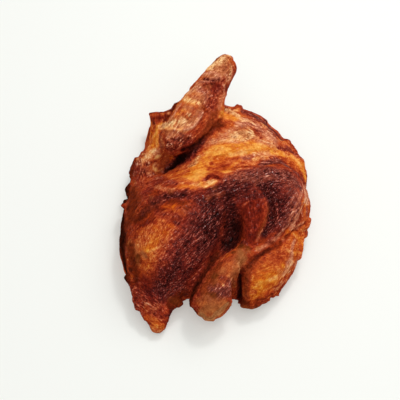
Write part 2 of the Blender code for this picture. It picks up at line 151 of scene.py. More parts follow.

# Browning, with painted shade and painted highlights among it, painted in this order: tone: strength and
# raggedness: stations
# Painted highlight along the back ridge
# Painted highlight on the band's right part
# Painted highlight on the drumstick
# Painted highlight: a pale line where the back ridge begins
# Painted highlight: pale dots on top of the bulge
# Painted highlight: peach streaks on the band's right part
# Painted shade in the cleft between the lobes
# Painted shade in the hollow beside the drumstick
# Painted shade with char along the drumstick's left edge
# Painted shade with char: the dark left edge
# Painted shade: dark along the groove right of the bulge
# The next eight strokes are painted highlights on the wing's fine ridges and elbow, with darker lines of
# painted shade beside some of them
# The next eight strokes are pink lines along the raised tendons: partly their own paler colour, partly
# painted highlight
# The next three strokes are painted highlight along the wing's ridge
# The next three strokes are painted highlights on the left of the breast
# The next three strokes are painted shade on the lobe's left side, along its edge by the cleft and along its
# lower edge
# The next two strokes are painted highlight on the middle of the lobe
# The next two strokes are painted highlights on the lumps of the wing's band
# The next two strokes are painted shade along the gap under the wing
# The next two strokes are painted shade in the pit beside the breast
# The next two strokes are painted shade in the thigh fold
# The next two strokes are painted shade with char round the drumstick's end
# The next two strokes are painted sheen, a pale pink highlight over the thigh's right rim
# The rest are painted shade in the gap under the wing: dark brown at its upper end, near-black below
# lines and hollows, with painted highlights along the tendons and painted shade in the hollows
BROWNING_AND_PAINTED_LIGHT = """
# back and shoulder
orange: 1 .3: 222,116,20 245,126,30 272,140,28 296,162,18
amber: 1 .4: 178,177,8 194,174,14 206,163,18 222,153,14 242,150,13 264,147,11 278,151,8
gold: 1 .3: 186,177,7 196,176,11 203,168,9 209,157,8 218,153,5
yellow: .9 .4: 190,179,5 197,177,8 203,171,6
yellow: .9 .5: 207,152,6 216,151,7 227,149,6
gold: .9 .5: 228,154,5 238,152,6 250,149,6 264,147,6
yellow: .8 .6: 244,150,4 253,147,5 262,143,5
peach: .8 .6: 258,141,5 267,143,6 275,145,5
orange: .4 .4: 209,158,3 218,158,3.5 227,158,3
rust: .2 .7: 203,161,2 212,162,2 222,161,2
pale: .7 .7: 231,155,3 238,154,4 245,153,3
peach: .7 .7: 256,155,4 267,154,5 277,154,4
pale: .7 .5: 193,186,3.5 202,187,4 209,186,3
scarlet: 1 .4: 231,163,6 244,164,8 257,162,6
rust: .75 .7: 212,164,3 222,166,3 231,165,3
gold: .8 .5: 209,170,4 218,171,4.5 228,171,5
pale: .35 .6: 224,172,3 230,171,3.5
scarlet: .8 .6: 232,172,4 240,169,4 250,168,4
pink: .55 .6: 241,158,3.5 248,158,4 253,156,3
mauve: .4 .5: 244,158,2.5 249,158,2.5
orange: .9 .5: 212,137,5 219,133,6
peach: .8 .7: 206,145,4 215,141,5.5 226,139,6 236,141,5
peach: .75 .7: 222,133,5 230,131,6 237,127,5
pale: .6 .6: 226,141,3 236,139,4 247,143,4
gold: .9 .4: 221,111,7 229,115,8 236,120,7
tan: .9 .4: 225,109,4 231,112,6 238,116,4
pale: .5 .5: 229,111,3 236,115,3.5 243,119,3
brick: .7 .4: 224,105,3 228,108,3
rust: .8 .4: 222,121,4 229,122,5 236,124,3
brown: .95 .4: 210,126,5 217,124,6 225,123,4
pink: .9 .6: 240,124,7 250,122,8 260,128,9 268,134,9 276,141,7
mauve: .35 .8: 246,124,5 256,125,5 262,134,5
cream: .5 .6: 241,121,2.5 248,121,3 255,124,2.5
peach: .6 .7: 254,137,3 261,134,4 267,137,3
russet: .6 .7: 238,128,4 246,127,5 252,128,4
tan: .95 .5: 234,136,6 242,135,9 251,133,7
yellow: .4 .4: 240,137,4 245,136,4
olive: .45 .4: 240,132,4 247,134,4
brick: .6 .5: 256,129,3 260,134,3.5 261,138,2.5
scarlet: .95 .4: 280,144,5 286,145,6 292,151,6 299,160,5
brick: 1 .4: 278,148,4 285,149,6 291,151,6 296,156,4
mauve: .45 .5: 282,147,3 289,149,5 295,154,4.5
mauve: .95 .5: 243,111,4 248,113,5 256,117,6 266,123,6 276,134,5
plum: .4 .5: 246,112,3 254,116,3.5 262,121,3
brick: .6 .6: 244,111,3 250,115,3 262,124,3
plum: .85 .4: 264,119,3 270,125,3.5 278,133,3.5 283,139,3
cream: .45 .6: 256,121,1.6 265,126,1.8 274,132,1.8 282,139,1.6
gold: .95 .4: 272,152,4 283,154,5 294,158,6 302,168,6 306,180,4
pale: .5 .4: 284,154,2.5 293,157,3 301,166,3
mauve: .85 .5: 261,165,4 269,161,5.5 279,161,6 289,167,6 297,175,5
orange: .9 .5: 168,176,6 178,178,7 186,181,6
brick: .9 .5: 166,182,5 171,181,5 176,184,4
amber: .8 .5: 180,187,4 190,188,4 198,189,3
tan: .6 .6: 190,166,3 195,162,4 199,157,3
rust: .5 .5: 206,166,2 212,169,2 220,168,2
gold: .75 .5: 211,147,3 225,145,3 238,146,3 250,144,3
gold: .6 .4: 224,172,2.5 231,167,3 240,160,3
pale: .7 .4: 254,160,2.5 260,158,3 267,158,2.5
brick: .5 .5: 254,128,3 256,134,3
mauve: .8 .3: 262,166,3 272,163,4 282,163,4.5 291,169,4
# neck and left flank
umber: .85 .5: 149,113,3.5 158,112,4 168,111,4 178,102,3
blood: .8 .4: 160,117,4 167,114,5 174,107,3
gold: 1 .4: 161,124,5 157,129,6 154,137,7 151,145,8 150,151,6
orange: .7 .6: 152,127,3 154,133,3.5 148,141,3.5 156,140,3
yellow: .7 .5: 158,130,3 157,144,3.5 155,151,4
scarlet: .6 .5: 152,139,3.5 150,146,4.5 151,152,4
amber: .8 .4: 155,138,3 153,144,4 153,149,3
umber: .7 .4: 148,116,3 150,124,3.5 149,132,3 147,140,3
peach: 1 .6: 157,151,7 149,156,10 141,162,8
cream: .85 1: 155,150,4 148,156,6 141,159,5 136,160,3
scarlet: .5 .9: 150,153,3 153,160,3 140,158,3 146,166,3
brick: .7 .6: 134,163,5 138,172,10 147,178,11 158,182,9
blood: .5 .7: 134,168,5 142,174,7 152,178,6
peach: .3 .9: 141,166,4 148,170,4 155,169,4
scarlet: .6 .9: 134,182,4 140,173,4 146,181,5 154,176,4
brown: .8 .6: 167,158,4 163,165,5 158,171,5
umber: .8 .4: 135,158,4 131,168,6 130,178,7
peach: .5 .8: 174,190,2.5 162,189,3 155,186,3
# left of the breast
brown: 1 .3: 132,190,10 134,204,14 130,218,15
umber: .8 .4: 132,192,7 134,204,9 130,220,8
rust: .5 .6: 150,195,5 143,202,5 138,208,4
orange: 1 .4: 168,220,9 160,230,13 148,242,15 150,260,9
scarlet: .8 .5: 160,222,6 170,230,7 166,242,7 162,254,7
rust: .5 .6: 164,224,4 168,232,5 166,242,5
rust: .8 .5: 156,214,5 165,214,6 176,222,5 178,234,5
brick: .6 .7: 172,244,6 168,256,6 160,266,6
brown: .7 .7: 186,206,7 179,217,6 172,218,5
amber: .5 .6: 163,206,3.5 170,206,4 176,207,3
brick: .7 .5: 157,213,5 166,215,6 176,216,6
peach: .5 .6: 184,211,2.5 188,212,2.5
orange: .8 .4: 140,232,6 150,230,6 138,240,5
scarlet: .95 .4: 154,229,6 146,235,9 140,242,7
amber: .6 .5: 156,241,4 150,246,5 145,252,5
gold: .5 .7: 143,249,2.5 149,250,3 155,248,2.5
gold: .4 .7: 150,236,2 157,234,2
pale: .4 .5: 150,252,1.6 155,249,1.8 159,247,1.5
rust: .6 .5: 156,262,5 146,264,5 148,272,4
amber: .4 .6: 149,263,3.5 147,268,3
olive: .7 .5: 142,253,3.5 146,257,3
olive: .8 .4: 129,244,6 133,254,8 137,262,6
umber: .9 .4: 130,246,6 134,264,7 136,274,8 137,284,6
dusk: 1 .4: 127,182,4 124,192,7 123,206,8 122,224,11 122,240,13 123,256,12 126,272,8 129,284,5
blood: 1 .4: 143,284,10 147,296,12 153,310,13 158,322,10
brick: .9 .4: 131,282,4 134,292,5.5 141,305,6 143,314,5
brick: .9 .6: 147,301,7 153,309,9 158,317,8
brick: .9 .5: 138,286,6 142,296,7
scarlet: .35 .7: 139,286,4 143,294,4
plum: .3 .6: 140,291,4 147,293,5 155,292,5
peach: .35 .9: 147,304,4 153,307,5 152,313,4 160,303,4
blood: .9 .3: 171,304,6 169,312,6 166,322,4
char: .6 .4: 172,303,4 170,311,4 168,319,2.5
orange: .9 .5: 147,316,4 154,321,5.5 159,327,7
amber: .5 .5: 153,326,3.5 160,322,3.5 161,328,3
# the charred crest and breast
plum: 1 .3: 208,206,20 205,228,27 196,250,28 182,272,25 166,290,17
char: .8 .5: 212,202,10 214,216,15 210,232,15 200,246,10
char: .6 .6: 178,258,7 174,275,9 160,286,8
brick: .5 .9: 196,238,8 190,258,9 184,268,8 170,292,7
mauve: .25 .8: 196,216,6 190,230,6 206,240,6 208,252,6
umber: 1 .4: 136,220,5 142,215,8 149,208,7 155,203,5
mauve: .45 .5: 143,213,4 151,208,5 160,202,5
umber: .5 .4: 146,213,4 152,209,5 158,205,3
umber: .5 .5: 152,201,5 164,197,6 176,195,6 184,194,5
plum: .7 .5: 152,201,5 164,197,6 176,195,6 186,193,6
char: .6 .6: 170,197,4 180,195,5 196,197,7
mauve: 1 .4: 214,192,6 228,183,8 242,178,11 256,177,14 274,174,15 290,177,14 300,188,9
brick: .6 .7: 184,200,6 196,194,6 206,191,5
brick: .3 .8: 222,184,5 238,174,5 250,170,5
pink: .25 .9: 234,175,4 246,177,4.5 256,182,4 270,178,4
plum: .9 .5: 210,189,4 222,188,6 236,188,8 250,186,6
char: .7 .6: 224,196,6 236,192,7 246,190,5
char: .95 .4: 262,187,6 268,187,8 273,193,8
russet: .3 .5: 216,195,5 224,194,4
blood: .7 .5: 214,254,8 208,262,9 198,272,9 190,282,7
brick: .5 .6: 206,262,5 199,270,6 192,280,6
dusk: .8 .4: 218,255,5 211,264,5 203,277,5 196,288,7 190,296,6
umber: .8 .4: 182,294,8 175,300,8 169,305,5
olive: .4 .5: 170,299,5 176,301,5
# the leg
plum: 1 .35: 276,196,16 286,206,17 282,220,13 268,236,9
mauve: .8 .5: 292,190,9 296,204,9 290,216,8 282,226,6
blood: 1 .3: 245,200,11 250,213,16 252,228,14 252,240,9
brick: .3 .6: 259,206,3 257,214,4 255,222,5 254,230,5
plum: .7 .5: 238,197,6 250,193,7 260,195,5
ochre: .4 .3: 269,204,2 268,214,2.2 264,224,2.5 258,236,2.5
peach: .45 .7: 243,206,1.3 246,203,1.3 250,201,1.3
char: .85 .5: 264,190,4 271,202,5 272,214,5 269,226,5 262,236,4
blood: .85 .4: 258,197,5 260,205,6 258,216,6
rust: .8 .5: 262,242,6 256,247,7 249,252,6
rust: .6 .6: 279,229,3 272,235,4 265,240,4
orange: .5 .5: 274,234,2.5 267,239,2.5
orange: 1 .15: 306,204,6 306,214,7 303,228,9 299,240,13 288,252,19 272,266,22 258,282,20 252,296,15
gold: .8 .4: 304,200,3 306,206,3
mauve: .6 .5: 307,208,3.5 307,215,4
amber: 1 .15: 283,268,6 273,277,13 262,284,14 255,294,11
gold: .45 .3: 275,277,5 267,280,6 260,286,5
pale: .7 .5: 270,280,2.5 277,277,3 284,275,2
scarlet: .6 .4: 270,257,6 273,264,7 279,270,5 282,284,4 274,290,4
rust: .65 .3: 262,257,5 270,261,6 280,258,6 286,252,5
amber: .8 .5: 288,232,5 294,232,6 299,240,5 300,250,4
scarlet: .5 .5: 286,236,4 290,242,4 286,250,4
pink: .8 .6: 295,240,3 292,248,3.5 291,257,4 288,264,4
pale: .6 .6: 283,248,2.2 288,251,2.2
pale: .6 .6: 294,234,2 297,238,2
gold: .6 .5: 294,252,3 299,253,2.5
peach: .9 .6: 292,261,4 289,267,5 284,273,4
brown: .9 .2: 255,260,5 250,266,6 247,276,5 246,288,5 247,300,4
dusk: .6 .4: 243,270,3 241,280,4 241,292,4 243,302,4
umber: .7 .3: 246,306,3 254,306,3 262,303,2.5 274,297,2.5
clay: 1 .2: 238,262,10 230,276,13 220,290,15 212,302,13
ochre: .5 .3: 222,270,5 212,282,7 205,294,6
ochre: 1 .4: 240,251,6 242,257,7 240,264,4
olive: .5 .4: 240,253,4 244,259,4
tan: .35 .4: 240,262,2.2 237,268,2.5 236,277,2
orange: .5 .4: 231,263,4 229,270,4 227,277,3
brick: .75 .5: 221,278,5 229,281,5 221,286,6
brown: .9 .4: 219,264,5 210,276,8 204,288,8
mauve: .95 .4: 212,289,5 220,291,9 229,289,7 230,282,5
plum: .6 .5: 224,294,4 229,295,4
cream: .9 .3: 222.5,284,1.4 223.5,285.5,1.4
dusk: .7 .4: 198,284,4 192,294,4 190,304,4
clay: .85 .5: 198,301,5 206,303,6 214,301,4
amber: .35 .6: 198,304,4 204,303,4
honey: .95 .8: 202,313,6 209,310,8 216,308,7 224,304,5
ochre: .5 .4: 200,311,3 208,308,4 218,306,3
umber: .85 .4: 188,303,3 191,309,3 199,316,3 206,319,2.5 216,318,2
dusk: .7 .4: 187,303,2 190,309,2 197,316,1.6
# lines and hollows
pink: .6 .7: 302,191,1.8 298,201,1.8 293,212,2 289,221,2.2
pink: .7 .6: 290,223,2.6 283,230,3 275,238,2.8 266,245,2.8 258,250,3
pink: .5 .7: 306,198,1.8 302,206,1.8 298,214,2 293,219,2
peach: .6 .6: 302,206,1.2 299,211,1.2 294,218,1.2
pink: .6 .6: 298,207,1.5 301,211,1.5 303,216,1.5
pink: .4 .7: 296,194,1.6 291,202,1.6 291,210,1.6
pink: .5 .5: 263,229,1.6 259,236,1.8 257,241,1.6
pink: .5 .5: 281,234,1.6 276,240,1.6 270,244,1.6
umber: .8 .5: 306,223,2 299,227,2 288,236,2.5 277,246,4 266,252,4 255,259,4 248,266,3
soot: .3 .4: 270,248,2 264,252,2.2 256,258,3
char: .9 .6: 229,200,9 230,216,12 232,232,14 228,246,12
soot: .45 .5: 234,224,6 236,236,9 231,244,9 223,244,6
soot: .7 .4: 241,272,2 239.5,279,2.2 240,288,2.8 238.5,298,3
brick: .6 .6: 197,149,5 205,139,6 213,130,5
brown: .7 .5: 196,147,5 204,138,5 213,128,4
char: .9 .6: 165,172,5 170,168,6 180,160,8 190,153,8 199,145,6 205,138,4
soot: .9 .4: 170,168,3 176,163,4 184,156,5 191,150,4
# the wing
russet: 1 .15: 172,140,20 190,124,24 203,102,21 214,84,19 225,68,17
brown: .9 .4: 215,104,7 212,118,8 205,129,9 191,138,8
rust: .9 .4: 206,106,4 204,117,6 199,126,6 190,134,6
brown: .85 .4: 205,106,5 202,115,7 197,123,5
gold: .8 .5: 166,125,7 178,116,11 187,107,11 194,104,6
russet: .6 .7: 183,106,6 192,109,7 195,114,4 184,116,5
tan: .9 .6: 163,126,6 173,122,8 183,121,6 190,115,4
rust: .7 .6: 182,104,2.5 179,110,2.5 185,115,3 190,118,3 196,108,3
cream: .35 .9: 166,126,3 174,123,4 182,122,4 187,125,3
cream: .8 .5: 185,99,3.5 191,101,4 199,103,3.5
peach: .9 .6: 190,93,5 197,87,5 201,94,5 195,97,4
orange: .4 .6: 193,94,3 199,96,3
pink: .6 .8: 197,85,4 205,95,4 206,100,4
mauve: .5 .8: 200,90,4 207,92,4 206,104,4
brick: .9 .4: 221,84,9 214,94,9 211,106,7
pink: .5 .7: 227,88,3 223,98,3 219,108,3
blood: .7 .6: 204,85,4 210,83,4 217,84,5 213,90,4
pink: .9 .6: 204,75,3.5 212,73,4.5 219,77,4 201,82,4
mauve: .5 .5: 200,82,3 205,82,2.5 219,79,2.5
char: .8 .4: 204,78.5,2 208,78.5,2
char: .8 .4: 212,80,1.8 214,80,1.6
tan: 1 .3: 211,68,7 218,61,10 227,56,7
cream: .7 .4: 209,69,4 215,64,5 221,59,4
peach: .4 .4: 215,70,3 221,70,3 224,65,2
rust: .3 .5: 229,60,4 231,66,4 227,69,3
pink: .4 .5: 233,66,3 233,74,3 230,81,3
tan: .55 .5: 231,65,3.5 232,72,3.5 230,79,2.5
pink: .6 .7: 226,75,4 230,78,3.5 225,82,3
brick: .9 .3: 164,141,7 169,147,13 180,147,13 192,143,8
blood: .6 .5: 176,149,5 184,146,6 194,141,5
rust: .9 .5: 162,134,5 163,143,6 166,151,4
russet: .5 .5: 161,138,3.5 163,146,3.5
rust: .6 .6: 192,136,5 198,133,5
peach: .7 .9: 169,137,3 174,134,4 178,131,3
plum: .5 .8: 176,140,5 184,138,5 181,134,3
pale: .7 .6: 161,128,2.5 172,129,3 182,129,3 190,127,3
pink: .9 .5: 185,129,2.5 192,125,2.8 198,119,2.5 202,111,2
cream: .4 .6: 184,128,1.8 191,125,2 197,119,1.8
rust: .6 .3: 207,110,5 203,120,6 198,129,6 194,136,5
umber: .9 .3: 190,147,3.5 199,142,3.5 206,135,3 212,129,2.5 221,125,2.5
soot: .6 .3: 183,149,3.5 192,147,3.5 199,143,3 204,137,2
umber: .85 .4: 179,102,2 174,108,2.4 169,115,2.4 164,121,2
pink: .8 .5: 181,104,1.6 176,111,1.8 172,118,1.8 166,124,1.8
rose: .75 .5: 202,114,1.5 200,118,1.8 196,124,1.9 191,128.5,1.9 184,130,1.7
cream: .8 .4: 178,117,1.3 175,122,1.4 171,127,1.3
rust: .7 .4: 180,116,1.2 177,121,1.3 174,126,1.2
rust: .7 .5: 196,103,1.6 198,107,1.6
pink: .8 .5: 167,138,1.7 171,134,1.7 175,130,1.5
pink: .7 .6: 177,149,1.4 181,145,1.4
rose: .65 1: 302,181,3 304,190,3.5 305,199,3.5 302,207,3 298,216,3 292,225,3
rose: .5 1: 304,223,3 298,227,3.5 291,229,2.5
# the tear
gold: .9 .4: 203,184,5 209,185,4 216,182,3
rust: .8 .6: 209,170,3 214,170,3.5 221,174,3
blood: .95 .5: 206.5,180,2 209,176.5,3.4 213.5,176.5,3.8 219.5,179,2.6
pale: .95 .8: 205.5,186,2.2 209,183,3.2 212.5,181.5,3.4 216,180.8,2.2
cream: .6 .9: 209,183,2 212.5,181,2.4
brick: .7 .6: 217,184.5,2.4 222,182,2.8
"""

# Rims, painted over the strokes where they show to the photograph's viewpoint: tone: strength: stations. Some
# are painted shade, at the left edge, and painted sheen, at the right rim.
# Painted shade with char along the left edge
# Painted sheen on the right rim
RIMS = """
brick: .6: 247,109,2.5 256,112,3 265,116,3 271,121,2.5
brick: .5: 287,140,2.5 292,144,3.5 297,151,3.5 301,158,3
gold: .6: 304,165,3 305,172,3
rose: .7: 305,186,2.5 307,194,3 307,203,3
pink: .5: 306,231,2.5 304,243,3 301,255,3 296,266,2.5
rust: .6: 290,276,3 280,289,3 270,298,3
bone: .8: 199,316,3.5 206,319,4 214,318,4 222,313,4.5 228,306,4
ochre: .6: 243,303,3 252,307,3 262,304,3
peach: .5: 150,327,3 157,332,3.5 163,330,3
dusk: .6: 125,195,3 123,205,3 122,215,3 121,235,4 121,250,4
"""

# Dabs of other kinds of skin over the browning, a few of them painted shade: tone: strength: spots
# Painted shade in the gap under the wing
# Painted shade with char at the left edge
DABS = """
flaky: .6: 138,162,5 147,164,5 142,172,6 151,174,6 158,178,5 134,174,4 170,146,5 180,142,6
flaky: .6: 190,137,5 176,134,4
russet: .55: 226,56,4 175,119,3.5 181,120,3.5 185,127,3.5 174,134,3.5 170,192,3.5 151,198,3.5
russet: .55: 208,198,4 214,188,3.5 232,281,3.5 185,99,3
brick: .6: 224,79,4 205,89,3.5 247,119,3.5 254,122,3 264,130,3.5 138,160,4 178,208,4 169,220,4
brick: .6: 196,267,6 163,281,5 144,284,4 156,298,4
rust: .6: 200,94,2.5 176,117,3.5 223,132,3.5 208,146,3.5 202,154,3.5 287,154,3.5 296,157,3 222,109,3
rust: .6: 206,150,3 283,249,3.5 164,264,5 253,292,4 241,273,2.5
brown: .6: 229,58,3 270,254,5 277,251,4 260,262,4 220,284,4
peach: .6: 208,96,3 204,102,3.5 168,113,3 158,155,4 248,156,3 263,159,4 155,165,4 161,170,3
peach: .6: 226,176,3 148,173,3 158,331,4 289,272,3 281,284,3.5 277,289,3.5 231,279,2.5 283,239,2.5
pale: .75: 236,110,4 220,142,3 157,157,4 155,169,3.5
orange: .6: 162,114,4 199,160,3 282,146,3.5 278,158,3.5 270,158,3 205,184,3 255,285,3.5 145,309,5
orange: .6: 163,318,3
gold: .5: 181,171,5 266,159,3
amber: .6: 230,173,3 267,295,4
scarlet: .6: 148,155,3.5 275,151,3.5 284,147,3.5
ember: .6: 165,233,5 171,225,4 155,228,4
cream: .6: 143,154,3
umber: .6: 154,123,4 206,112,3 168,185,4 141,262,4 211,132,4 218,130,4 223,126,4 208,135,3.5
umber: .6: 171,202,5 180,203,5 186,202,4 262,241,5 271,243,3.5
blood: .55: 224,81,3.5 152,119,4 164,121,3 146,223,4 172,221,4.5 183,220,5 153,306,3
char: .6: 275,184,5 248,199,4 255,191,4 193,215,4 191,243,5 243,243,5 254,197,4 177,223,4
plum: .5: 274,172,4
wine: .6: 250,197,5 251,205,5 277,229,4
soot: .6: 182,150,3
dusk: .7: 127,208,4 130,270,4
moss: .75: 233,252,4 240,246,5 247,248,4 214,276,4 213,295,4 138,257,4
olive: .5: 248,251,4 257,248,3 233,284,3
rose: .6: 225,86,3 162,172,2.5
pink: .55: 293,225,4
"""

# Hollows whose walls are evened out: name:: stations
HOLLOWS = """
pit:: 230,200,14 232,222,18 230,244,16
under the wing:: 166,172,8 182,158,12 200,142,9
thigh fold:: 284,240,7 268,252,8 254,262,8
beside the drumstick:: 222,258,8 206,272,9 192,288,9
"""

# Where the lower edge is smooth: name:: stations
SMOOTH_EDGES = """
drumstick end:: 190,306,7 203,318,9 220,314,9 230,303,7
thigh:: 242,302,7 260,304,9 280,292,9 295,268,9 303,246,7
"""

# Relief: name: height in millimetres: stations
RELIEF = """
wing ridge: .7: 162,129,3 174,130,3 186,129,3 195,123,3 201,116,3 204,107,3
wing crease: -.5: 166,124,3 176,123,3 187,120,3 196,111,3
wing fold one: -.5: 185,103,2 180,110,2.5 176,118,2
wing fold two: -.5: 192,106,2 187,114,2.5 192,119,2
wing ridge two: .5: 203,112,1.8 200,118,2 196,124,2 191,128.5,2 184,130,2
wing side ridge: .5: 181,104,1.8 176,111,2 172,118,2 166,124,2
wing joint: .8: 183,101,4 190,98,4 198,100,4
wing dimple: -.7: 200,98,2.5 204,96,2.5
wing pinch: -1.2: 201,79,3 208,79,3.5 214,80,3.5 222,83,4
wing lump one: .8: 203,83,3 206,85,2.5
wing lump two: .9: 204,75,3 211,73,4 219,77,3
wing left side: .8: 210,67,4 201,77,4 191,88,4 183,98,4
elbow crease: -.5: 166,137,3 176,141,3 190,140,3
gap: -1: 164,173,4 174,165,5 184,156,6 194,147,5 206,136,4
neck fold: .8: 150,114,3 157,126,3 156,140,3 148,152,3
neck crease: -.9: 163,117,3 161,128,3 159,146,3 162,158,3
flank hollow: -1: 160,168,4 155,174,4
tear: -.6: 207,184,2.5 211,182,3 216,181,2.5
tear curl: .8: 206,179,2 209,175.5,2.8 213.5,175,3 219.5,178,2.4
tear lower lip: .7: 203,188,2.5 211,187,2.5 219,183,2.5
crest step: .9: 148,192,5 170,189,6 195,191,6 222,183,6 250,173,7 280,166,7 298,176,5
band stripe: .7: 200,171,4 217,167,4 238,163,5 262,158,5 285,159,4
band stripe two: .6: 206,151,4 220,148,4 236,145,4 256,144,4 274,147,4
band groove: -.6: 206,161,4 228,156,4 252,152,4 276,153,3
band lobe: .6: 192,168,4 199,176,5 202,184,4
shoulder fold one: -.5: 206,146,3 216,139,3 228,134,3
shoulder fold two: -.5: 230,132,3 240,127,3 252,127,3
shoulder fold three: -.5: 246,140,3 254,134,3 260,128,2
back ridge: 1: 228,110,3 240,118,3 258,122,3 270,129,3 274,133,3
back crease: -.8: 243,112,3 254,119,3 266,125,3 277,134,3
neck hollow: -1.2: 223,121,4 217,125,5 211,131,3
tendon one: .6: 303,191,2.4 298,202,2.6 290,220,2.8 282,231,3 268,244,3 254,253,3
tendon two: .5: 306,198,2 302,206,2.2 298,214,2.4 292,221,2.2
tendon three: .3: 296,194,2 291,203,2.2 284,214,2
thigh fold: -1: 306,223,3 297,229,3 286,238,3.5 274,247,4 262,254,4 252,261,4
bulge groove: -.9: 264,191,4 271,202,4 272,214,4.5 269,226,4 262,237,4
bulge line: .4: 266,205,2.5 266,216,2.5 262,227,2.5
crest line: .3: 205,199,3 228,192,3 250,185,3 264,180,3 292,182,3
crest line two: -.3: 214,204,3 236,197,3 254,191,3 266,187,3
crest line three: -.3: 230,180,2.5 244,175,2.5 258,172,2.5
flank fold: -.8: 134,224,4 142,217,4 152,206,4 166,200,4
lobe line: .5: 298,230,2.5 297,245,2.5 294,262,2.5
cleft: -.6: 242,267,3 240,277,3 240,290,3 239,299,3
drumstick side: 2.4: 237,268,4 234,276,5 234,286,5 232,295,4
drumstick crease: -.7: 216,264,4 206,279,4 194,292,5
left flake: 3.4: 123,200,3.5 123,203,4 125,207,3
left edge: 1.5: 128,187,5 125,195,4
left step: 2: 136,159,3 133,166,4 131,176,3
left step notch: -1.8: 132,182,3 134,182,3
keel side: 3.4: 127,277,5 130,285,7 134,293,8 138,302,7 140,308,5
keel side low: 1.6: 143,313,4 148,320,4
keel right side: 1.8: 171,311,5 168,320,5 164,328,4
keel notch: 3.4: 171,305,5 179,302,6
thigh end: 2.8: 243,303,5 250,305,6 260,303,8 271,298,7
thigh side: 2.6: 308,219,4 303,240,6 302,250,6 298,258,3
thigh notch: -1.2: 306,228,3.5 305,233,3
tail jag: 1.3: 277,293,2.5 280,290,2.5
back corner: 2.4: 237,107,3 241,108,3
back edge: 1.2: 286,140,4 292,145,6 303,162,6
neck notch: -1.5: 230,107,3 233,108,3
brow: .8: 226,198,5 240,192,6 256,190,5
"""

# How far the outline moves: name: pixels to the right and down: stations
SHIFTS = """
back corner: -1.4 1.8: 270,124,5 276,130,7 282,136,6
back end: -.9 .5: 293,145,5 299,154,6
wing right side: -1.3 -.4: 236,63,6 233,76,7 227,90,6
wing left side: -.7 -.7: 185,95,6 177,103,5
neck corner: .7 1.4: 164,110,4 170,108,4
neck side: -.9 0: 143,143,5 143,151,5
left side: -1.9 0: 126,190,6 123,201,5
keel side: -2.8 .5: 128,287,5 130,293,5
keel end: -1.6 1.2: 139,315,5 143,320,4
keel tip: 0 1.6: 153,331,5 158,333,6
keel end right: 1.3 .7: 165,328,6 170,316,7 173,308,5
drumstick end left: .9 -1.4: 193,310,5 201,317,6
drumstick end right: -1.7 -2.1: 229,305,4 226,311,7 219,317,8
thigh low side: -2.8 2.4: 242,301,4 243,306,5
thigh end: -.6 -1.4: 262,304,4 267,302,4
thigh jag: .8 1.2: 274,296,4 276,294,3
thigh side: 1 .2: 304,246,5 303,251,5
"""

# Ways that the skin's streaks run, and where: (way, from this pixel, to this pixel, how far round them)
WAYS = {
    "level": (1.0, 0.0, 0.0),
    "gentle": (0.9, 0.45, 0.0),
    "steep": (0.62, 0.78, 0.1),
    "upright": (-0.1, 1.0, 0.1),
    "falling": (0.85, -0.55, -0.1),
}
LEAST_WEIGHT = 1e-5
SQUEEZE = 0.65
GRAIN = (
    ("steep", (172, 148), (226, 62), 30),
    ("gentle", (170, 180), (235, 148), 26),
    ("level", (235, 150), (302, 160), 26),
    ("falling", (222, 112), (283, 140), 18),
    ("steep", (206, 214), (158, 268), 34),
    ("steep", (176, 212), (138, 250), 24),
    ("gentle", (150, 207), (225, 186), 20),
    ("gentle", (225, 190), (280, 172), 24),
    ("upright", (300, 176), (300, 200), 12),
    ("steep", (303, 200), (256, 250), 22),
    ("upright", (254, 192), (248, 244), 14),
    ("steep", (242, 258), (210, 314), 20),
    ("gentle", (262, 252), (302, 236), 22),
    ("steep", (255, 300), (290, 270), 16),
    ("upright", (150, 118), (136, 176), 20),
    ("falling", (136, 280), (158, 328), 20),
)

# Colours of the skin along its browning, as screen values from 0 to 255
GOLDEN = ((0.0, (248, 198, 110)), (0.12, (238, 167, 64)), (0.25, (221, 129, 32)), (0.38, (196, 87, 16)),
          (0.5, (161, 54, 12)), (0.62, (122, 38, 9)), (0.75, (84, 25, 7)), (0.88, (46, 13, 4)),
          (1.0, (18, 5, 3)))
REDDISH = ((0.0, (244, 180, 142)), (0.12, (231, 150, 112)), (0.25, (208, 116, 80)), (0.38, (181, 78, 48)),
           (0.5, (148, 47, 30)), (0.62, (111, 27, 19)), (0.75, (79, 18, 15)), (0.88, (45, 10, 9)),
           (1.0, (19, 5, 4)))
ASHEN = ((0.0, (244, 196, 170)), (0.2, (224, 158, 132)), (0.4, (178, 104, 86)), (0.6, (121, 61, 52)),
         (0.8, (70, 32, 29)), (1.0, (20, 7, 7)))
TANNED = ((0.0, (246, 210, 160)), (0.2, (220, 169, 124)), (0.4, (176, 121, 76)), (0.6, (120, 72, 33)),
          (0.8, (68, 36, 14)), (1.0, (21, 9, 4)))


def camera_eye():
    """The photograph's viewpoint, in metres."""
    across = (FRAME_PX / 2 - ORIGIN_PX[0]) * MM_PER_PX * MM
    along = (ORIGIN_PX[1] - FRAME_PX / 2) * MM_PER_PX * MM
    return RIGHT * across + UP * along + BACK * CAMERA_AWAY


EYE = camera_eye()
MIDDLE_AWAY = (EYE - MIDDLE).dot(BACK)


def make_camera():
    data = bpy.data.cameras.new("camera")
    data.sensor_width = SENSOR
    data.lens = SENSOR * MIDDLE_AWAY / (FRAME_PX * MM_PER_PX * MM)
    data.clip_start = 0.01
    camera = bpy.data.objects.new("camera", data)
    camera.location = EYE
    camera.rotation_euler = BACK.to_track_quat("Z", "Y").to_euler()
    bpy.context.scene.collection.objects.link(camera)
    bpy.context.scene.camera = camera


def ray_through(x, y):
    """The way from the eye through a pixel of the photograph."""
    half = FRAME_PX / 2
    scale = MM_PER_PX * MM / MIDDLE_AWAY
    return (RIGHT * (x - half) * scale + UP * (half - y) * scale - BACK).normalized()


